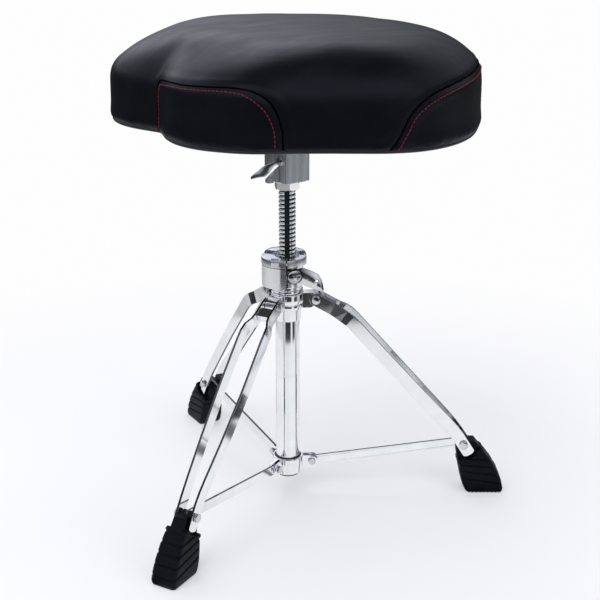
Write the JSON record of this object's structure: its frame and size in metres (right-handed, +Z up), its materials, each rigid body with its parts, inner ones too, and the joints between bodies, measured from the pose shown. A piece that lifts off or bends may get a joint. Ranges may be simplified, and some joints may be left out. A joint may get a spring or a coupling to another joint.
{
  "type": "drum throne",
  "caption": "Padded saddle-shaped stool seat on a threaded height rod, a clamped column and a folding tripod of flat double-strip legs with rubber feet.",
  "frame": {"origin": "centre of the overall bounding box in plan, at floor level under the rubber feet", "axes": "+Z up along the column; the front of the seat, with the notch between the thigh lobes, faces -Y"},
  "size_m": [0.4904, 0.4668, 0.5606],
  "materials": {
    "chrome_plate": "polished",
    "cast_alloy": "satin",
    "rod_steel": "satin",
    "bright_hardware": "gloss",
    "brass_bush": "satin",
    "foot_rubber": "matte",
    "black_plastic": "satin",
    "seat_vinyl": "satin",
    "seat_foam": "matte",
    "plywood": "matte"
  },
  "bodies": {
    "base": {"column_tube": "chrome_plate", "tube_end_plug": "black_plastic", "leg_hub": "chrome_plate", "hub_set_screw": "bright_hardware", "neck_ring": "chrome_plate", "nut_housing": "chrome_plate", "height_nut": "brass_bush"},
    "clamp_lever": {"clamp_lever": "chrome_plate", "clamp_screw": "bright_hardware"},
    "lock_ring": {"lock_ring": "chrome_plate", "lock_ring_screw": "bright_hardware", "lock_ring_key": "bright_hardware"},
    "seat": {"threaded_rod": "rod_steel", "rod_lock_nut": "chrome_plate", "rod_washer": "bright_hardware", "seat_bracket": "cast_alloy", "bracket_screw_1": "bright_hardware", "bracket_screw_2": "bright_hardware", "bracket_screw_3": "bright_hardware", "bracket_screw_4": "bright_hardware", "seat_board": "plywood", "seat_foam": "seat_foam", "seat_cover": "seat_vinyl"},
    "seat_clamp_lever": {"seat_clamp_lever": "cast_alloy", "seat_clamp_bolt": "bright_hardware"},
    "collar": {"lower_collar": "chrome_plate", "collar_bush": "black_plastic", "strut_a_pin": "bright_hardware", "strut_b_pin": "bright_hardware", "strut_c_pin": "bright_hardware"},
    "strut_a": {"strut_a": "chrome_plate"},
    "leg_a": {"leg_a_strip_left": "chrome_plate", "leg_a_strip_right": "chrome_plate", "leg_a_pivot_nut": "bright_hardware", "leg_a_pivot_bolt": "bright_hardware", "leg_a_bridge": "chrome_plate", "leg_a_foot_bolt": "bright_hardware", "leg_a_foot_nut": "bright_hardware", "rubber_foot_a": "foot_rubber"},
    "strut_b": {"strut_b": "chrome_plate"},
    "leg_b": {"leg_b_strip_left": "chrome_plate", "leg_b_strip_right": "chrome_plate", "leg_b_pivot_nut": "bright_hardware", "leg_b_pivot_bolt": "bright_hardware", "leg_b_bridge": "chrome_plate", "leg_b_foot_bolt": "bright_hardware", "leg_b_foot_nut": "bright_hardware", "rubber_foot_b": "foot_rubber"},
    "strut_c": {"strut_c": "chrome_plate"},
    "leg_c": {"leg_c_strip_left": "chrome_plate", "leg_c_strip_right": "chrome_plate", "leg_c_pivot_nut": "bright_hardware", "leg_c_pivot_bolt": "bright_hardware", "leg_c_bridge": "chrome_plate", "leg_c_foot_bolt": "bright_hardware", "leg_c_foot_nut": "bright_hardware", "rubber_foot_c": "foot_rubber"}
  },
  "joints": [
    {"name": "collar_slide", "type": "slide", "parent": "base", "child": "collar", "axis": [0, 0, 1], "range_m": [0, 0.13578]},
    {"name": "height_screw", "type": "hinge", "parent": "base", "child": "lock_ring", "pos_m": [0.0182, 0.00619, 0.295], "axis": [0, 0, 1], "range_deg": [-5040, 6480]},
    {"name": "seat_height", "type": "slide", "parent": "lock_ring", "child": "seat", "axis": [0, 0, 1], "range_m": [-0.0701, 0.0901]},
    {"name": "clamp_lever_turn", "type": "hinge", "parent": "base", "child": "clamp_lever", "pos_m": [0.04235, -0.00028, 0.2812], "axis": [0.9659, -0.2588, 0], "range_deg": [-60, 70]},
    {"name": "seat_clamp_lever_turn", "type": "hinge", "parent": "seat", "child": "seat_clamp_lever", "pos_m": [0.0327, -0.01231, 0.4145], "axis": [0, -1, 0], "range_deg": [-35, 15]},
    {"name": "strut_a_pivot", "type": "hinge", "parent": "collar", "child": "strut_a", "pos_m": [0.03427, 0.03093, 0.0379], "axis": [-0.8387, 0.5446, 0], "range_deg": [0, 87.68]},
    {"name": "leg_a_pivot", "type": "hinge", "parent": "strut_a", "child": "leg_a", "pos_m": [0.13421, 0.18483, 0.0626], "axis": [-0.8387, 0.5446, 0], "range_deg": [-49.86, 0]},
    {"name": "strut_b_pivot", "type": "hinge", "parent": "collar", "child": "strut_b", "pos_m": [-0.01126, 0.00773, 0.0379], "axis": [-0.0523, -0.9986, 0], "range_deg": [0, 87.68]},
    {"name": "leg_b_pivot", "type": "hinge", "parent": "strut_b", "child": "leg_b", "pos_m": [-0.19451, 0.01734, 0.0626], "axis": [-0.0523, -0.9986, 0], "range_deg": [-49.86, 0]},
    {"name": "strut_c_pivot", "type": "hinge", "parent": "collar", "child": "strut_c", "pos_m": [0.03159, -0.02009, 0.0379], "axis": [0.891, 0.454, 0], "range_deg": [0, 87.68]},
    {"name": "leg_c_pivot", "type": "hinge", "parent": "strut_c", "child": "leg_c", "pos_m": [0.1149, -0.18359, 0.0626], "axis": [0.891, 0.454, 0], "range_deg": [-49.86, 0]}
  ],
  "couplings": [
    {"joint": "seat_height", "follows": "height_screw", "m_per_rad": 0.00079577},
    {"joint": "strut_a_pivot", "follows": "collar_slide", "rad_per_m": 11.269},
    {"joint": "leg_a_pivot", "follows": "collar_slide", "rad_per_m": -6.408},
    {"joint": "strut_b_pivot", "follows": "collar_slide", "rad_per_m": 11.269},
    {"joint": "leg_b_pivot", "follows": "collar_slide", "rad_per_m": -6.408},
    {"joint": "strut_c_pivot", "follows": "collar_slide", "rad_per_m": 11.269},
    {"joint": "leg_c_pivot", "follows": "collar_slide", "rad_per_m": -6.408}
  ]
}
